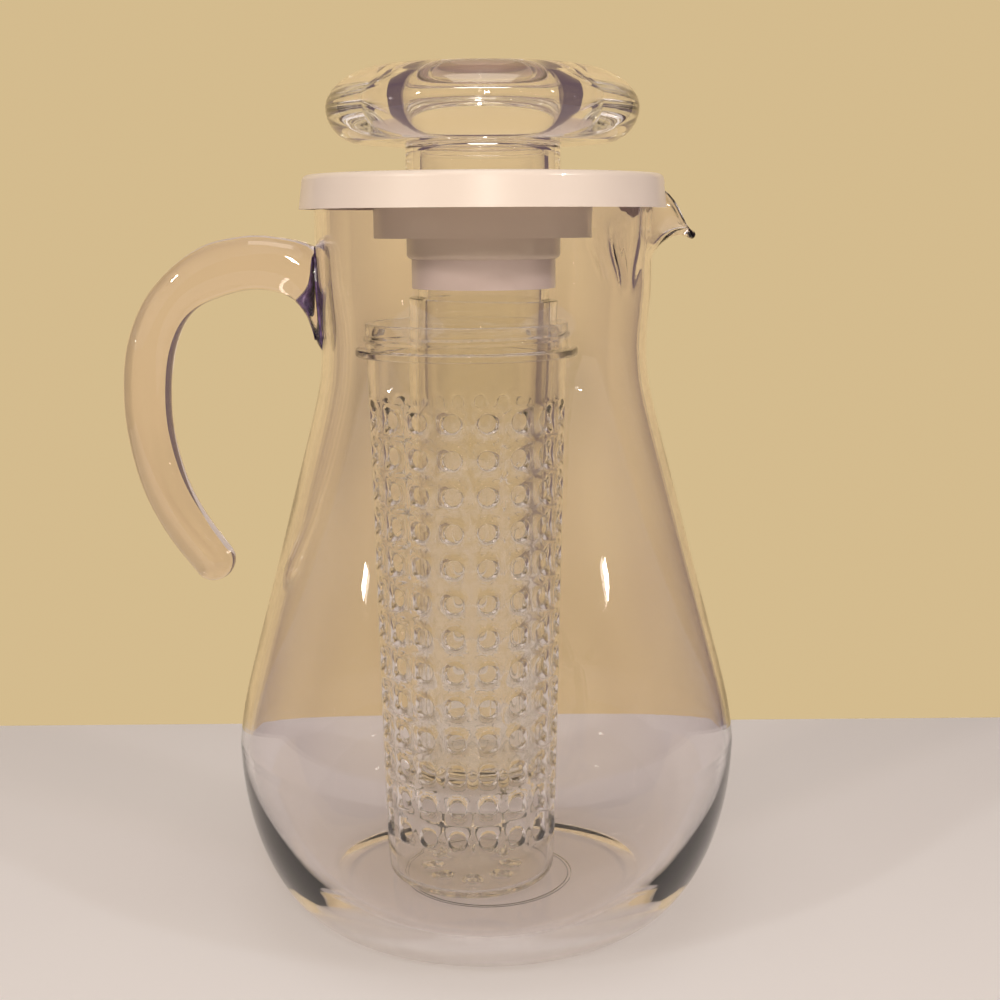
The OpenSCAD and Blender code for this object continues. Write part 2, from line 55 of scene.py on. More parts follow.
# %% Camera at the photograph's angle
eye = Vector((0.0, -0.5245, 0.2392))
pitch, yaw, roll = math.radians(10.3), math.radians(0.56), math.radians(-0.3)
ahead = Vector((math.sin(yaw) * math.cos(pitch), math.cos(yaw) * math.cos(pitch), -math.sin(pitch)))
flat_right = Vector((math.cos(yaw), -math.sin(yaw), 0.0))
flat_up = flat_right.cross(ahead)
right = flat_right * math.cos(roll) + flat_up * math.sin(roll)
up = right.cross(ahead)
camera_data = bpy.data.cameras.new("camera")
camera_data.sensor_width = 36.0
camera_data.lens = 55.1
camera_data.clip_start = 0.01
camera = bpy.data.objects.new("camera", camera_data)
scene.collection.objects.link(camera)
camera.matrix_world = Matrix.Translation(eye) @ Matrix((right, up, -ahead)).transposed().to_4x4()
scene.camera = camera
scene.view_settings.view_transform = "Standard"

# %% [markdown]
# A look through the pitcher passes the jug, the infuser, the sleeve and the tube,
# twice each, and every wall has two faces. A path that runs out of bounces goes
# black, so the limits are raised well above those sixteen faces.

# %% Enough bounces for nested clear walls
scene.cycles.max_bounces = 40
scene.cycles.transmission_bounces = 40
scene.cycles.transparent_max_bounces = 40
scene.cycles.glossy_bounces = 12

# %% [markdown]
# ## Clear plastic
# Acrylic has an index of 1.49 and is almost colourless. Real mouldings are never
# perfect: the wall is faintly wavy, and handling leaves a thin haze in patches.
# One noise drives the haze in the roughness and another a very weak bump.
# Shadow and diffuse rays pass straight through, tinted a little, because a
# refracting surface would otherwise leave everything inside it in the dark.


# %% Clear plastic material
def clear_plastic(name, colour, ior, haze, wave, wave_size, shade):
    material = bpy.data.materials.new(name)
    material.use_nodes = True
    nodes, links = material.node_tree.nodes, material.node_tree.links
    surface = nodes["Principled BSDF"]
    surface.inputs["Base Color"].default_value = (*colour, 1)
    surface.inputs["Transmission Weight"].default_value = 1
    surface.inputs["IOR"].default_value = ior
    place = nodes.new("ShaderNodeTexCoord")
    patches = nodes.new("ShaderNodeTexNoise")
    patches.inputs["Scale"].default_value = 55
    patches.inputs["Detail"].default_value = 3
    links.new(place.outputs["Object"], patches.inputs["Vector"])
    haze_range = nodes.new("ShaderNodeMapRange")
    haze_range.inputs["From Min"].default_value = 0.45
    haze_range.inputs["From Max"].default_value = 0.75
    haze_range.inputs["To Min"].default_value = 0.0
    haze_range.inputs["To Max"].default_value = haze
    links.new(patches.outputs["Fac"], haze_range.inputs["Value"])
    links.new(haze_range.outputs["Result"], surface.inputs["Roughness"])
    ripple = nodes.new("ShaderNodeTexNoise")
    ripple.inputs["Scale"].default_value = wave_size
    ripple.inputs["Detail"].default_value = 1
    links.new(place.outputs["Object"], ripple.inputs["Vector"])
    bump = nodes.new("ShaderNodeBump")
    bump.inputs["Strength"].default_value = wave
    bump.inputs["Distance"].default_value = 0.001
    links.new(ripple.outputs["Fac"], bump.inputs["Height"])
    links.new(bump.outputs["Normal"], surface.inputs["Normal"])
    through = nodes.new("ShaderNodeBsdfTransparent")
    through.inputs["Color"].default_value = (*shade, 1)
    path = nodes.new("ShaderNodeLightPath")
    either = nodes.new("ShaderNodeMath")
    either.operation = "MAXIMUM"
    links.new(path.outputs["Is Shadow Ray"], either.inputs[0])
    links.new(path.outputs["Is Diffuse Ray"], either.inputs[1])
    mix = nodes.new("ShaderNodeMixShader")
    links.new(either.outputs["Value"], mix.inputs["Fac"])
    links.new(surface.outputs["BSDF"], mix.inputs[1])
    links.new(through.outputs["BSDF"], mix.inputs[2])
    links.new(mix.outputs["Shader"], nodes["Material Output"].inputs["Surface"])
    return material


acrylic, clear_moulding = 1.49, 1.5
jug_acrylic = clear_plastic("jug_acrylic", (0.965, 0.945, 0.955), acrylic, 0.01, 0.10, 22,
                            (0.88, 0.86, 0.84))
bar_acrylic = clear_plastic("bar_acrylic", (0.94, 0.885, 0.915), acrylic, 0.0, 0.03, 30,
                            (0.78, 0.72, 0.74))
knob_acrylic = clear_plastic("knob_acrylic", (0.975, 0.965, 0.965), acrylic, 0.02, 0.03, 30,
                             (0.84, 0.80, 0.80))
core_plastic = clear_plastic("core_plastic", (0.98, 0.975, 0.955), clear_moulding, 0.015, 0.12, 60,
                             (0.90, 0.89, 0.85))
infuser_plastic = clear_plastic("infuser_plastic", (0.98, 0.972, 0.95), clear_moulding, 0.015, 0.15, 70,
                                (0.90, 0.88, 0.84))

# %% [markdown]
# ## White plastic
# The lid, the hub and the core's cap are moulded in a warm white with a soft
# gloss. The hub and the cap get darker, more mauve colours than the lid. That is
# painted shade, standing in for the shade the lid casts on them. The surface has a
# very fine orange peel and slightly uneven sheen, so a small bump and a
# roughness that drifts keep it from looking like paint.


# %% White plastic material
def white_plastic(name, colour, gloss):
    material = bpy.data.materials.new(name)
    material.use_nodes = True
    nodes, links = material.node_tree.nodes, material.node_tree.links
    surface = nodes["Principled BSDF"]
    surface.inputs["Specular IOR Level"].default_value = 0.5
    surface.inputs["Coat Weight"].default_value = 0.25
    surface.inputs["Coat Roughness"].default_value = 0.05
    place = nodes.new("ShaderNodeTexCoord")
    drift = nodes.new("ShaderNodeTexNoise")
    drift.inputs["Scale"].default_value = 18
    drift.inputs["Detail"].default_value = 4
    links.new(place.outputs["Object"], drift.inputs["Vector"])
    tone = nodes.new("ShaderNodeMix")
    tone.data_type = "RGBA"
    tone.inputs["A"].default_value = (*[c * 0.965 for c in colour], 1)
    tone.inputs["B"].default_value = (*colour, 1)
    links.new(drift.outputs["Fac"], tone.inputs["Factor"])
    links.new(tone.outputs["Result"], surface.inputs["Base Color"])
    sheen = nodes.new("ShaderNodeMapRange")
    sheen.inputs["To Min"].default_value = gloss
    sheen.inputs["To Max"].default_value = gloss + 0.12
    links.new(drift.outputs["Fac"], sheen.inputs["Value"])
    links.new(sheen.outputs["Result"], surface.inputs["Roughness"])
    peel = nodes.new("ShaderNodeTexNoise")
    peel.inputs["Scale"].default_value = 900
    peel.inputs["Detail"].default_value = 1
    links.new(place.outputs["Object"], peel.inputs["Vector"])
    bump = nodes.new("ShaderNodeBump")
    bump.inputs["Strength"].default_value = 0.12
    bump.inputs["Distance"].default_value = 0.0001
    links.new(peel.outputs["Fac"], bump.inputs["Height"])
    links.new(bump.outputs["Normal"], surface.inputs["Normal"])
    return material


lid_white = white_plastic("lid_white", (0.85, 0.74, 0.675), 0.27)
# The hub's and the cap's colours are darkened as painted shade from the lid above them.
hub_white_painted_shade = white_plastic("hub_white_painted_shade", (0.80, 0.69, 0.61), 0.3)
cap_white_painted_shade = white_plastic("cap_white_painted_shade", (0.74, 0.63, 0.63), 0.25)
washer_white = white_plastic("washer_white", (0.74, 0.73, 0.70), 0.55)

# %% [markdown]
# ## Set cement
# The handle is bonded to the neck. Seen through the bar the joint is dark violet
# with paler, bubbly patches, so a noise mixes two violets.

# %% Cement material
cement = bpy.data.materials.new("cement")
cement.use_nodes = True
cement_nodes, cement_links = cement.node_tree.nodes, cement.node_tree.links
cement_surface = cement_nodes["Principled BSDF"]
cement_surface.inputs["Roughness"].default_value = 0.25
cement_place = cement_nodes.new("ShaderNodeTexCoord")
bubbles = cement_nodes.new("ShaderNodeTexVoronoi")
bubbles.inputs["Scale"].default_value = 420
cement_links.new(cement_place.outputs["Object"], bubbles.inputs["Vector"])
violets = cement_nodes.new("ShaderNodeValToRGB")
violets.color_ramp.elements[0].color = (0.028, 0.012, 0.06, 1)
violets.color_ramp.elements[0].position = 0.3
violets.color_ramp.elements[1].color = (0.16, 0.09, 0.26, 1)
violets.color_ramp.elements[1].position = 0.85
cement_links.new(bubbles.outputs["Distance"], violets.inputs["Fac"])
cement_links.new(violets.outputs["Color"], cement_surface.inputs["Base Color"])

# %% [markdown]
# ## Turning
# Nearly every piece is round, so each is drawn as half of its section and spun
# about the upright axis. Profiles are in millimetres, as radius and height. They
# start and end on the axis, so the turned skin closes by itself once its
# doubled seam and poles are merged. Then its normals are worked out afresh.


# %% Helpers for turned pieces
def arc(centre, radius, start, end, steps):
    angles = [math.radians(start + (end - start) * i / steps) for i in range(steps + 1)]
    return [(centre[0] + radius * math.cos(a), centre[1] + radius * math.sin(a)) for a in angles]


def turn(profile, sweeps=((360, 180),), start=0.0):
    bm = bmesh.new()
    row = bm.verts.layers.int.new("row")
    a = math.radians(start)
    verts = [bm.verts.new((r * math.cos(a), r * math.sin(a), z)) for r, z in profile]
    for i, v in enumerate(verts):
        v[row] = i
    geom = verts + [bm.edges.new(pair) for pair in zip(verts, verts[1:])]
    for angle, steps in sweeps:
        made = bmesh.ops.spin(bm, geom=geom, cent=(0, 0, 0), axis=(0, 0, 1), dvec=(0, 0, 0), steps=steps,
                              angle=math.radians(angle), use_merge=False, use_duplicate=False)
        geom = made["geom_last"]
    bmesh.ops.remove_doubles(bm, verts=bm.verts, dist=0.0005)
    return bm


def finish_piece(name, bm, body, node, material, crease=35):
    bmesh.ops.recalc_face_normals(bm, faces=bm.faces)
    bmesh.ops.scale(bm, vec=(0.001, 0.001, 0.001), verts=bm.verts)
    mesh = bpy.data.meshes.new(name)
    open_edges = sum(1 for e in bm.edges if not e.is_manifold)
    bm.to_mesh(mesh)
    bm.free()
    mesh.shade_smooth()
    mesh.set_sharp_from_angle(angle=math.radians(crease))
    mesh.materials.append(material)
    piece = bpy.data.objects.new(name, mesh)
    scene.collection.objects.link(piece)
    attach(piece, body)
    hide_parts(node)
    print(name, len(mesh.polygons), "faces,", open_edges, "open edges")
    return piece


# %% [markdown]
# ## Jug
# The side is a full belly that draws in to a waist and opens slightly to the
# neck. The curve through the shoulder's points is the same smooth curve as the
# solid's, only with more steps. The heel is thicker than the wall, because the
# flat floor inside is smaller than the flat foot outside.

# %% The jug's profile
jug_h, jug_wall, floor_t = 251.0, 2.8, 3.0
belly_r, belly_z, waist_r, waist_z, neck_r = 86.8, 62.0, 55.0, 197.0, 56.5
base_r, floor_r, rim_r = 58.0, 48.0, 1.4
neck_z, spout_low = 221.0, 224.0
shoulder = [(0, 0), (0.1, 0.066), (0.28, 0.264), (0.47, 0.483), (0.65, 0.682),
            (0.8, 0.852), (0.88, 0.935), (0.94, 0.982), (1, 1)]


def smooth_path(points, steps):
    out = []
    for i in range(len(points) - 1):
        a, b = points[max(i - 1, 0)], points[i]
        c, d = points[i + 1], points[min(i + 2, len(points) - 1)]
        for k in range(steps):
            t = k / steps
            out.append(tuple(0.5 * (2 * q + t * (r - p) + t * t * (2 * p - 5 * q + 4 * r - s)
                                    + t ** 3 * (3 * q - p - 3 * r + s))
                             for p, q, r, s in zip(a, b, c, d)))
    return out + [points[-1]]


def belly(flat, low, wide, steps=44):
    angles = [math.radians(90 * i / steps) for i in range(steps + 1)]
    return [(flat + (wide - flat) * math.sin(a) ** (2 / 1.75),
             low + (belly_z - low) * (1 - math.cos(a))) for a in angles]


def side(inset):
    low = [(belly_r - inset - (belly_r - waist_r) * q, belly_z + (waist_z - belly_z) * p)
           for p, q in smooth_path(shoulder, 7)]
    blend = [i / 16 for i in range(1, 17)]
    high = [(waist_r - inset + (neck_r - waist_r) * t * t * (3 - 2 * t),
             waist_z + (neck_z - waist_z) * t) for t in blend]
    return low[1:] + high


def neck_rows(radius):
    rows = [spout_low + (jug_h - rim_r - spout_low) * i / 22 for i in range(22)]
    return [(radius, z) for z in [neck_z + 1.5] + rows]


foot_ring = [(29.7, 0), (29.8, 0.7), (30.0, 0.8), (31.0, 0.8), (31.2, 0.7), (31.3, 0)]
outside = [(0, 0), (15, 0)] + foot_ring + [(45, 0)] + belly(base_r, 0, belly_r)
outside += side(0) + neck_rows(neck_r)
inside = [(0, floor_t), (15, floor_t), (30, floor_t), (42, floor_t)]
inside += belly(floor_r, floor_t, belly_r - jug_wall) + side(jug_wall) + neck_rows(neck_r - jug_wall)
lip = arc((neck_r - rim_r, jug_h - rim_r), rim_r, 0, 180, 12)
jug_profile = outside + lip + inside[::-1]
print("jug profile", len(jug_profile), "points")

# %% [markdown]
# ## Spout
# The beak is pulled out of the neck, and the hot wall beside it is pinched in:
# each pinch is a teardrop, wide under the lid and pointed lower down.
# The turned neck is simply pushed into that shape: one formula says where the
# outer face goes, at an angle from the beak and a share of the way up, and the
# inner face follows along that face's own normal, so the wall keeps its thickness.

# %% Formula of the spout's outer face
spout_reach, spout_drop, spout_root, spout_half = 13.0, 17.6, 27.0, 8.7
beak = smooth_path([(0, 0), (0.02, 0.37), (0.18, 0.69), (0.4, 0.96), (0.65, 1.1), (0.88, 1.085),
                    (1, 1)], 8)


def beak_at(s):
    k = min(max(s, 0), 1) * (len(beak) - 1)
    i = min(int(k), len(beak) - 2)
    return [p + (q - p) * (k - i) for p, q in zip(beak[i], beak[i + 1])]


def spout_point(a, s):
    weight = math.exp(-(abs(a) / (spout_half * (1 + 0.7 * (1 - s)))) ** 3)
    reach, rise = beak_at(s)
    plain = spout_low + (jug_h - rim_r - spout_low) * s
    drawn = spout_low + (spout_root - spout_drop) * rise
    r = neck_r + spout_reach * reach * weight
    t = math.radians(a)
    return Vector((r * math.cos(t), r * math.sin(t), plain + (drawn - plain) * weight ** 2.5))


def spout_frame(a, s):
    upward = (spout_point(a, min(s + 0.01, 1)) - spout_point(a, max(s - 0.01, 0))).normalized()
    along = spout_point(a + 0.4, s) - spout_point(a - 0.4, s)
    return along.cross(upward).normalized(), upward


def ease(t):
    t = min(max(t, 0), 1)
    return t * t * (3 - 2 * t)


pinch_depth, pinch_low, pinch_at = 2.6, 214, 35


def pinch(a, z):
    width = 3.0 + 7.0 * ease((z - 216) / 24)
    depth = pinch_depth * ease((z - pinch_low) / 18) * (1 - ease((z - 237) / 9))
    return depth * math.exp(-(abs(abs(a) - pinch_at) / width) ** 2.5)


# %% Turn the jug and draw out its spout
jug = turn(jug_profile, ((262, 131), (98, 98)), start=49)
for v in jug.verts:
    angle, r, z = math.degrees(math.atan2(v.co.y, v.co.x)), math.hypot(v.co.x, v.co.y), v.co.z
    if z > pinch_low and 10 < abs(angle) < 60:
        inward = 1 - pinch(angle, z) / r
        v.co.x, v.co.y = v.co.x * inward, v.co.y * inward
    if z < spout_low or abs(angle) > 47.01:
        continue
    if z <= jug_h - rim_r + 1e-4 and abs(r - neck_r + rim_r) > rim_r - 1e-3:
        s = min((z - spout_low) / (jug_h - rim_r - spout_low), 1)
        outward, _ = spout_frame(angle, s)
        v.co = spout_point(angle, s) - outward * (neck_r - r + pinch(angle, z))
    else:
        outward, upward = spout_frame(angle, 1)
        v.co = spout_point(angle, 1) + outward * (r - neck_r) + upward * (z - jug_h + rim_r)
jug_piece = finish_piece("jug", jug, "jug", "jug_body", jug_acrylic)

# %% [markdown]
# ## Handle
# The handle is a solid bar, bent while hot. Two lists give the bar's outer and
# inner edge as shares of its reach and height. A ring of vertices is extruded
# from one station to the next, and each new ring is laid out as a squarish
# ellipse between the two edges. The root is then cut to the neck's own curve.

# %% The bar's edges
bar_depth, bar_reach, bar_drop, bar_top = 18.0, 66.7, 118.8, jug_h - 15.8
edge_shares = [
    ((-0.06, 0.045), (-0.06, 0.355)), ((0.02, 0.028), (0, 0.31)), ((0.09, 0.015), (0.046, 0.237)),
    ((0.181, 0.006), (0.124, 0.18)), ((0.277, 0), (0.231, 0.157)), ((0.382, 0.003), (0.345, 0.154)),
    ((0.55, 0.024), (0.472, 0.17)), ((0.72, 0.083), (0.604, 0.202)),
    ((0.877, 0.181), (0.687, 0.254)), ((0.972, 0.309), (0.742, 0.34)), ((1, 0.453), (0.765, 0.452)),
    ((0.981, 0.589), (0.757, 0.567)), ((0.916, 0.734), (0.7, 0.699)),
    ((0.802, 0.864), (0.61, 0.806)), ((0.657, 0.975), (0.487, 0.907))]


def bar_point(share):
    return Vector((-(neck_r + bar_reach * share[0]), 0, bar_top - bar_drop * share[1]))


outer_edge = smooth_path([tuple(bar_point(p[0])) for p in edge_shares], 7)
inner_edge = smooth_path([tuple(bar_point(p[1])) for p in edge_shares], 7)
bar_stations = [(Vector(o), Vector(i), bar_depth) for o, i in zip(outer_edge, inner_edge)]
tip_out, tip_in, _ = bar_stations[-1]
tip_r = (tip_out - tip_in).length / 2
tip_way = Vector((tip_out.z - tip_in.z, 0, tip_in.x - tip_out.x)).normalized()
for k in range(1, 13):
    t = math.radians(90 * k * 0.985 / 12)
    middle = (tip_out + tip_in) / 2 - tip_way * tip_r * math.sin(t)
    half = (tip_out - tip_in) / 2 * math.cos(t)
    bar_stations.append((middle + half, middle - half, bar_depth * math.cos(t)))

# %% Extrude rings, and lay out the bar's
def loft(rings):
    bm = bmesh.new()
    ring = bmesh.ops.create_circle(bm, cap_ends=True, segments=len(rings[0]), radius=1)["verts"]
    for n, spots in enumerate(rings):
        if n:
            near = dict.fromkeys(e for v in ring for e in v.link_edges)
            loop = [e for e in near if e.verts[0] in ring and e.verts[1] in ring]
            made = bmesh.ops.extrude_edge_only(bm, edges=loop)["geom"]
            fresh = {v for v in made if isinstance(v, bmesh.types.BMVert)}
            ring = [next(e.other_vert(v) for e in v.link_edges if e.other_vert(v) in fresh)
                    for v in ring]
        for v, spot in zip(ring, spots):
            v.co = spot
    bmesh.ops.contextual_create(bm, geom=ring)
    bmesh.ops.recalc_face_normals(bm, faces=bm.faces)
    return bm


def bar_ring(station, sides=48):
    o, i, depth = station
    out = []
    for k in range(sides):
        t = math.tau * k / sides
        u = math.copysign(abs(math.cos(t)) ** (2 / 2.6), math.cos(t))
        w = math.copysign(abs(math.sin(t)) ** (2 / 2.6), math.sin(t))
        out.append((o + i) / 2 + (o - i) / 2 * u + Vector((0, depth / 2 * w, 0)))
    return out


bar = loft([bar_ring(station) for station in bar_stations])

# %% Cut the root to the neck
cut_low, cut_high, film_t = 150, 255, 0.5
neck_cut = turn([(0, cut_low)] + [(r + film_t, z) for r, z in side(0) if z > cut_low]
                + [(neck_r + film_t, cut_high), (0, cut_high)], ((360, 240),))
bmesh.ops.recalc_face_normals(neck_cut, faces=neck_cut.faces)
cut_mesh = bpy.data.meshes.new("neck_cut")
neck_cut.to_mesh(cut_mesh)
neck_cut.free()
cutter = bpy.data.objects.new("neck_cut", cut_mesh)
bar_mesh = bpy.data.meshes.new("bar")
bar.to_mesh(bar_mesh)
bar.free()
blank = bpy.data.objects.new("bar_blank", bar_mesh)
for o in (cutter, blank):
    scene.collection.objects.link(o)
trim = blank.modifiers.new("trim", "BOOLEAN")
trim.operation, trim.object, trim.solver = "DIFFERENCE", cutter, "EXACT"
depsgraph = bpy.context.evaluated_depsgraph_get()
handle = bmesh.new()
handle.from_mesh(blank.evaluated_get(depsgraph).to_mesh())
for o in (cutter, blank):
    bpy.data.objects.remove(o)
bmesh.ops.remove_doubles(handle, verts=handle.verts, dist=0.001)
handle_piece = finish_piece("handle_bar", handle, "jug", "handle", bar_acrylic, 40)

# %% [markdown]
# The cement crept into the root of the bar as it set. Seen from the front this
# stain is the dark violet patch at the foot of the joint. It is a narrow strip
# on the cement's film that swells lower down and follows the bar's lower edge.

# %% The stain in the bar's root: height and how far it reaches into the bar
stain_shape = [(200.2, 0.3), (202, 0.8), (204, 1.5), (206, 2.3), (208, 3.1), (210, 4.2), (212, 5.6),
               (213.6, 6.2), (215, 5.0), (217, 3.3), (219, 2.3), (222, 1.7), (225, 1.4), (227.5, 0.9)]
stain_half, stain_sides = 6.2, 20


def stain_ring(z, reach):
    turns = [math.tau * k / stain_sides for k in range(stain_sides)]
    return [Vector((-57.0 - reach / 2 * (1 - math.cos(t)), stain_half * math.sin(t), z)) for t in turns]


stain = loft([stain_ring(z, reach) for z, reach in stain_shape])
bmesh.ops.scale(stain, vec=(0.001, 0.001, 0.001), verts=stain.verts)
stain_mesh = bpy.data.meshes.new("stain")
stain.to_mesh(stain_mesh)
stain.free()
stain_mesh.shade_smooth()
stain_mesh.materials.append(cement)
stain_piece = bpy.data.objects.new("cement_stain", stain_mesh)
scene.collection.objects.link(stain_piece)
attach(stain_piece, "jug")

# %% [markdown]
# ## Knob
# The knob is a heavy clear ring, round on the outside, with a finger well in its
# top. It is solid: the curved dark streaks inside its ends only appear when
# light bends through a full thickness. A tube joins it to the lid.

# %% Turn the knob
lid_top, knob_low, knob_h = 254.7, 265.0, 24.0
knob_top, knob_mid, knob_r = knob_low + knob_h, 276.6, 52.1
crest_r, bore_r, well_r, spigot_low = 34.0, 20.8, 27.0, lid_top - 13.4
quarter = [math.radians(90 * i / 30) for i in range(1, 31)]
knob_profile = [(0, knob_low), (10, knob_low)]
knob_profile += arc((bore_r - 3, knob_low - 3), 3, 90, 0, 10)
knob_profile += [(bore_r, spigot_low + 0.2), (bore_r + 0.2, spigot_low), (22.2, spigot_low),
                 (22.4, spigot_low + 0.2)]
knob_profile += [(22.4, lid_top), (25.7, lid_top), (25.9, lid_top + 0.2), (25.9, knob_low - 0.8)]
knob_profile += arc((26.7, knob_low - 0.8), 0.8, 180, 90, 5)[1:]
knob_profile += arc((knob_r - 11.6, knob_mid), 11.6, -90, 0, 30)
knob_profile += [(crest_r + (knob_r - crest_r) * math.cos(a) ** (2 / 1.8) if a < 1.57 else crest_r,
                  knob_mid + (knob_top - knob_mid) * math.sin(a) ** (2 / 1.8)) for a in quarter]
knob_profile += [(crest_r - (crest_r - well_r) * math.sin(a), knob_top - 6 * (1 - math.cos(a)))
                 for a in quarter]
knob_profile += arc((well_r - 6, knob_low + 9), 6, 0, -90, 16)
knob_profile += [(10, knob_low + 3), (0, knob_low + 3)]
knob_blank = turn(knob_profile, ((360, 200),))
finish_piece("knob_ring", knob_blank, "lid", "knob", knob_acrylic)

# %% [markdown]
# ## Chilling core
# A thick clear tube hangs in the cap and a second clear sleeve is pushed over
# it. Both narrow a little downwards, as a moulding must to leave its mould. In
# the photograph they hang slightly out of true, so both are turned upright and
# then leaned together about the middle of the cap's hold.


# %% Turn the tube and the sleeve
def closed_tube(top_r, end_r, wall, low, shoulder, top, edge):
    profile = [(0, low), (8, low)] + arc((end_r - edge, low + edge), edge, -90, 0, 10)
    profile += [(top_r, shoulder), (top_r, top - 0.3), (top_r - 0.3, top)]
    profile += [(top_r - wall + 0.3, top), (top_r - wall, top - 0.3), (top_r - wall, shoulder)]
    profile += arc((end_r - wall - edge / 2, low + wall + edge / 2), edge / 2, 0, -90, 8)
    return turn(profile + [(8, low + wall), (0, low + wall)], ((360, 160),))


pivot_z, lean = 220.45, math.radians(1.4)
sleeve_top, sleeve_low, tube_top = 213.7, 45.5, 223.6
tube = closed_tube(22.15, 19.75, 3.0, sleeve_low + 3.0, sleeve_top, tube_top, 2.7)
sleeve = closed_tube(25.25, 22.75, 2.7, sleeve_low, sleeve_top - 1, sleeve_top, 2.7)
for name, bm, node, slot in [("core_inner", tube, "core_tube", "clear_core"),
                             ("core_outer", sleeve, "core_sleeve", "clear_sleeve")]:
    bmesh.ops.rotate(bm, verts=bm.verts, cent=(0, 0, pivot_z), matrix=Matrix.Rotation(lean, 3, "Y"))
    finish_piece(name, bm, "core", node, core_plastic)

# %% [markdown]
# ## Infuser
# A tapered cup with 18 columns of 13 round holes, a flange and a threaded rim.
# Cutting 242 holes with a boolean leaves ragged shading, and on clear plastic
# it shows. Here the wall is spun with eight steps to each hole, both ways. The
# middle of each cell is pulled into a circle and opened, inside and outside,
# and the two openings are bridged. So the wall keeps clean, even quads.

# %% The infuser's profile, with rows that match its holes
cup_low, hole_pitch, hole_r, cols, start_angle = 3.3, 12.1, 3.0, 144, -8.0
row_low, row_step = cup_low + 26.3 - hole_pitch / 2, hole_pitch / 8


def wall_r(z, inner):
    return 27.9 + (z - 9.3) * 4.0 / 185.5 if inner else 30.1 + (z - 8.3) * 4.0 / 186.5


floor_rows = [9.5 + 1.25 * i for i in range(9)]
wall_z = [row_low + row_step * i for i in range(105)]
cup_out = [(0, cup_low), (4.5, cup_low)] + [(r, cup_low) for r in floor_rows] + [(22.3, cup_low)]
cup_out += arc((25.1, 8.3), 5, -90, 0, 12) + [(wall_r(z, 0), z) for z in (12, 16, 20)]
first_out = len(cup_out)
cup_out += [(wall_r(z, 0), z) for z in wall_z + [184, 188, 192, 194.2, 194.8]]
cup_out += arc((37.3, 195.5), 0.7, -90, 0, 5) + arc((37.3, 196.7), 0.7, 0, 90, 5)
cup_out += [(34.9, 197.4), (34.6, 197.6)] + [(34.6, 197.8 + 0.2 * i) for i in range(37)]
cup_out += arc((34.1, 205.4), 0.5, 0, 90, 5)
cup_in = [(0, 6.5), (4.5, 6.5)] + [(r, 6.5) for r in floor_rows] + [(22.3, 6.5)]
cup_in += arc((25.1, 9.3), 2.8, -90, 0, 8) + [(wall_r(z, 1), z) for z in (12, 16, 20)]
first_in = len(cup_in)
cup_in += [(wall_r(z, 1), z) for z in wall_z] + [(31.9, z) for z in (194.8, 197, 200, 203, 205.5)]
cup_in += arc((32.3, 205.5), 0.4, 180, 90, 4)[1:]
cup_profile = cup_out + cup_in[::-1]
in_last = len(cup_profile) - 1

# %% Turn the infuser and find its vertices by row and column
cup = turn(cup_profile, ((360, cols),), start=start_angle)
row_layer = cup.verts.layers.int["row"]
grid = {}
for v in cup.verts:
    column = round((math.degrees(math.atan2(v.co.y, v.co.x)) - start_angle) / (360 / cols)) % cols
    grid[v[row_layer], column] = v
print("infuser grid", len(grid), "of", (len(cup_profile) - 2) * cols + 2)


# %% Pull each cell's middle into a circle
def open_hole(row0, col0, half_rows, half_cols, on_floor, toward):
    centre = grid[row0, col0 % cols].co.copy()
    radius, a0 = math.hypot(centre.x, centre.y), math.radians(start_angle + col0 * 360 / cols)
    row_mm = 1.25 if on_floor else row_step
    col_mm = radius * math.tau / cols
    spots = {}
    for i in range(-half_rows, half_rows + 1):
        for j in range(-half_cols, half_cols + 1):
            s = max(abs(i) / half_rows, abs(j) / half_cols)
            if s in (0, 1):
                continue
            edge_v, edge_u = i / s * row_mm, j / s * col_mm
            t = math.atan2(edge_v, edge_u)
            share = max((s - 0.5) / 0.5, 0)
            k = 1 if s >= 0.5 else s / 0.5
            u = (hole_r * math.cos(t) * (1 - share) + edge_u * share) * k
            w = (hole_r * math.sin(t) * (1 - share) + edge_v * share) * k
            if on_floor:
                r, z = radius + w, centre.z
            else:
                z = centre.z + w
                r = wall_r(z, toward < 0)
            sink = toward * {0.5: 0.75, 0.625: 0.2}.get(round(s, 3), 0)
            z, r = (z + sink, r) if on_floor else (z, r - sink)
            a = a0 + u / radius
            spot = Vector((r * math.cos(a), r * math.sin(a), z))
            spots[grid[row0 + toward * i, (col0 + j) % cols]] = (s, spot)
    middle = [v for v, (s, _) in spots.items() if s <= 0.5] + [grid[row0, col0 % cols]]
    for v, (s, co) in spots.items():
        v.co = co
    return middle


holes = []
for n in range(13):
    for m in range(18):
        pair = [open_hole(first_out + 4 + 8 * n, 4 + 8 * m, 4, 4, False, 1),
                open_hole(in_last - (first_in + 4 + 8 * n), 4 + 8 * m, 4, 4, False, -1)]
        holes.append(pair)
for m in range(8):
    holes.append([open_hole(2 + 4, 4 + 18 * m, 4, 8, True, 1),
                  open_hole(in_last - (2 + 4), 4 + 18 * m, 4, 8, True, -1)])
inside_faces = list(dict.fromkeys(f for pair in holes for middle in pair for v in middle
                                  for f in v.link_faces if all(w in middle for w in f.verts)))
bmesh.ops.delete(cup, geom=inside_faces, context="FACES")
print("holes", len(holes), "faces opened", len(inside_faces))

# %% Bridge the two faces of the wall at each hole
rims = []
for pair in holes:
    ring_verts = [v for middle in pair for v in middle if v.is_valid]
    edges = list(dict.fromkeys(e for v in ring_verts for e in v.link_edges if e.is_boundary))
    rims.extend(edges)
    bmesh.ops.bridge_loops(cup, edges=edges)
bmesh.ops.recalc_face_normals(cup, faces=cup.faces)
bmesh.ops.bevel(cup, geom=[e for e in rims if e.is_valid], offset=0.22, offset_type="OFFSET",
                segments=2, profile=0.5, affect="EDGES", clamp_overlap=True, material=-1)

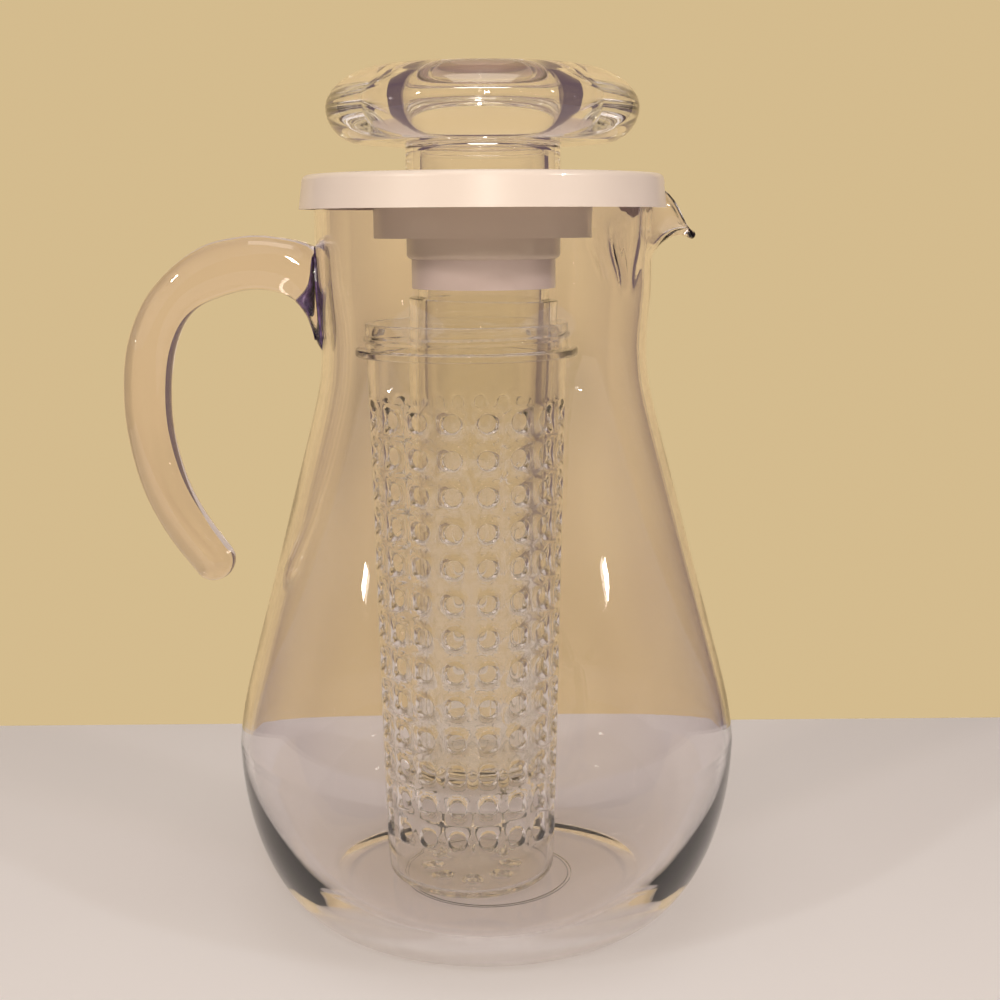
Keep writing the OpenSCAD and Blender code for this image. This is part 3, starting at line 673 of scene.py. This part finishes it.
# %% [markdown]
# The thread that screws the infuser into the hub is a ridge that climbs a little
# more than once round the rim. The rim's rows are close together, so the ridge
# is raised by moving each vertex outwards by a formula of its height and angle.

# %% Raise the thread
for v in cup.verts:
    r, z = math.hypot(v.co.x, v.co.y), v.co.z
    if abs(r - 34.6) > 0.01 or not 197.7 < z < 205.1:
        continue
    lift = 0.0
    for lap in (0, 1):
        i = 56 * (math.degrees(math.atan2(v.co.y, v.co.x)) % 360 + 360 * lap) / (360 * 1.15)
        ends = min(1, (min(i, 56 - i) - 0.5) / 4)
        near_crest = 1 - max(0, abs(z - 199.0 - 3.2 * i / 56) - 0.43) / 0.87
        lift = max(lift, 0.65 * ends * max(0, near_crest))
    v.co.x, v.co.y = v.co.x * (r + lift) / r, v.co.y * (r + lift) / r
bmesh.ops.translate(cup, vec=(-6, 0, 0), verts=cup.verts)
finish_piece("infuser_cup", cup, "infuser", "infuser", infuser_plastic, 32)

# %% [markdown]
# ## Opaque pieces
# The lid, the hub, the cap, the washer and the cement have the right shape in
# the solids already, so they stay and only get their finishes.

# %% Finish the opaque pieces
for node, material in {"lid": lid_white, "hub": hub_white_painted_shade, "core_cap": cap_white_painted_shade,
                       "core_seal": washer_white, "handle_bond": cement}.items():
    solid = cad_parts[node]
    solid.data.materials.clear()
    solid.data.materials.append(material)

# %% [markdown]
# ## Floor, card and light
# A clear object shows whatever stands round it. The pale floor and a cream card
# close behind it give the jug its tone, as a plain studio sweep would. The camera
# doesn't see the card, so it hides nothing from behind. It sees the pale world.
# What the plastic shows of the world is dimmer at the sides, so that its thick
# edges draw themselves.

# %% Floor and card
def matte(name, colour, mottle, glow):
    material = bpy.data.materials.new(name)
    material.use_nodes = True
    nodes, links = material.node_tree.nodes, material.node_tree.links
    surface = nodes["Principled BSDF"]
    surface.inputs["Roughness"].default_value = 0.8
    place = nodes.new("ShaderNodeTexCoord")
    cloud = nodes.new("ShaderNodeTexNoise")
    cloud.inputs["Scale"].default_value = 3
    links.new(place.outputs["Object"], cloud.inputs["Vector"])
    tone = nodes.new("ShaderNodeMix")
    tone.data_type = "RGBA"
    tone.inputs["A"].default_value = (*[c * mottle for c in colour], 1)
    tone.inputs["B"].default_value = (*colour, 1)
    links.new(cloud.outputs["Fac"], tone.inputs["Factor"])
    links.new(tone.outputs["Result"], surface.inputs["Base Color"])
    links.new(tone.outputs["Result"], surface.inputs["Emission Color"])
    surface.inputs["Emission Strength"].default_value = glow
    return material


def sheet(name, corners, material):
    bm = bmesh.new()
    bm.faces.new([bm.verts.new(c) for c in corners])
    mesh = bpy.data.meshes.new(name)
    bm.to_mesh(mesh)
    bm.free()
    mesh.materials.append(material)
    piece = bpy.data.objects.new(name, mesh)
    scene.collection.objects.link(piece)
    return piece


back, floor_z, card_z = 0.19, -0.0004, -0.001
sheet("floor", [(-0.9, -0.8, floor_z), (0.9, -0.8, floor_z), (0.9, back, floor_z), (-0.9, back, floor_z)],
      matte("floor_pale", (0.83, 0.79, 0.80), 0.96, 0.10))
card = sheet("card", [(-0.30, back, card_z), (0.22, back, card_z), (0.22, back, 0.60), (-0.30, back, 0.60)],
             matte("card_cream", (0.59, 0.465, 0.265), 0.94, 0.22))
card.visible_camera = card.visible_diffuse = False


# %% Lights
def lamp(name, place, target, size_x, size_y, power, colour):
    data = bpy.data.lights.new(name, "AREA")
    data.shape, data.size, data.size_y = "RECTANGLE", size_x, size_y
    data.energy, data.color = power, colour
    piece = bpy.data.objects.new(name, data)
    scene.collection.objects.link(piece)
    piece.location = place
    piece.rotation_euler = (Vector(target) - Vector(place)).to_track_quat("-Z", "Y").to_euler()


lamp("key", (0.07, -1.25, 0.80), (0, 0, 0.15), 0.09, 0.22, 7.0, (1.0, 0.92, 0.80))
lamp("side_left", (-1.0, -0.9, 0.9), (0, 0, 0.12), 0.05, 0.10, 6.5, (1.0, 0.92, 0.80))
lamp("side_right", (1.1, -0.8, 1.0), (0, 0, 0.12), 0.05, 0.10, 5.5, (1.0, 0.94, 0.88))
lamp("ceiling", (0, -0.2, 1.6), (0, 0.05, 0), 0.7, 0.7, 5, (1.0, 0.94, 0.86))
lamp("glint_left", (-1.24, -0.52, 0.37), (0, 0, 0.12), 0.06, 0.02, 0.3, (1.0, 0.95, 0.85))
lamp("glint_right", (1.24, -0.52, 0.37), (0, 0, 0.12), 0.06, 0.02, 0.3, (1.0, 0.95, 0.85))

# %% [markdown]
# The world does two jobs. For diffuse light it is a dim, warm fill. For rays from
# the camera, and for those that come through the plastic or off it, it is the
# background: pale for the camera and towards the front of the room, and dimmer
# beside the card.

# %% World
world = bpy.data.worlds.new("room")
scene.world = world
world.use_nodes = True
world_nodes, world_links = world.node_tree.nodes, world.node_tree.links
fill = world_nodes["Background"]
fill.inputs["Color"].default_value = (0.42, 0.33, 0.26, 1)
fill.inputs["Strength"].default_value = 0.34
room_ray = world_nodes.new("ShaderNodeLightPath")


def larger(first, second):
    node = world_nodes.new("ShaderNodeMath")
    node.operation = "MAXIMUM"
    world_links.new(first, node.inputs[0])
    world_links.new(second, node.inputs[1])
    return node.outputs["Value"]


direction = world_nodes.new("ShaderNodeTexCoord")
parts = world_nodes.new("ShaderNodeSeparateXYZ")
world_links.new(direction.outputs["Generated"], parts.inputs["Vector"])
frontness = world_nodes.new("ShaderNodeMapRange")
frontness.inputs["From Min"].default_value = 0.0
frontness.inputs["From Max"].default_value = -0.4
world_links.new(parts.outputs["Y"], frontness.inputs["Value"])
shade_or_pale = world_nodes.new("ShaderNodeMix")
shade_or_pale.data_type = "RGBA"
shade_or_pale.inputs["A"].default_value = (0.13, 0.085, 0.10, 1)
shade_or_pale.inputs["B"].default_value = (0.66, 0.50, 0.27, 1)
world_links.new(larger(room_ray.outputs["Is Camera Ray"], frontness.outputs["Result"]),
                shade_or_pale.inputs["Factor"])
backdrop = world_nodes.new("ShaderNodeBackground")
world_links.new(shade_or_pale.outputs["Result"], backdrop.inputs["Color"])
choose = world_nodes.new("ShaderNodeMixShader")
seen = larger(room_ray.outputs["Is Glossy Ray"], room_ray.outputs["Is Transmission Ray"])
world_links.new(larger(room_ray.outputs["Is Camera Ray"], seen), choose.inputs["Fac"])
world_links.new(fill.outputs["Background"], choose.inputs[1])
world_links.new(backdrop.outputs["Background"], choose.inputs[2])
world_links.new(choose.outputs["Shader"], world_nodes["World Output"].inputs["Surface"])
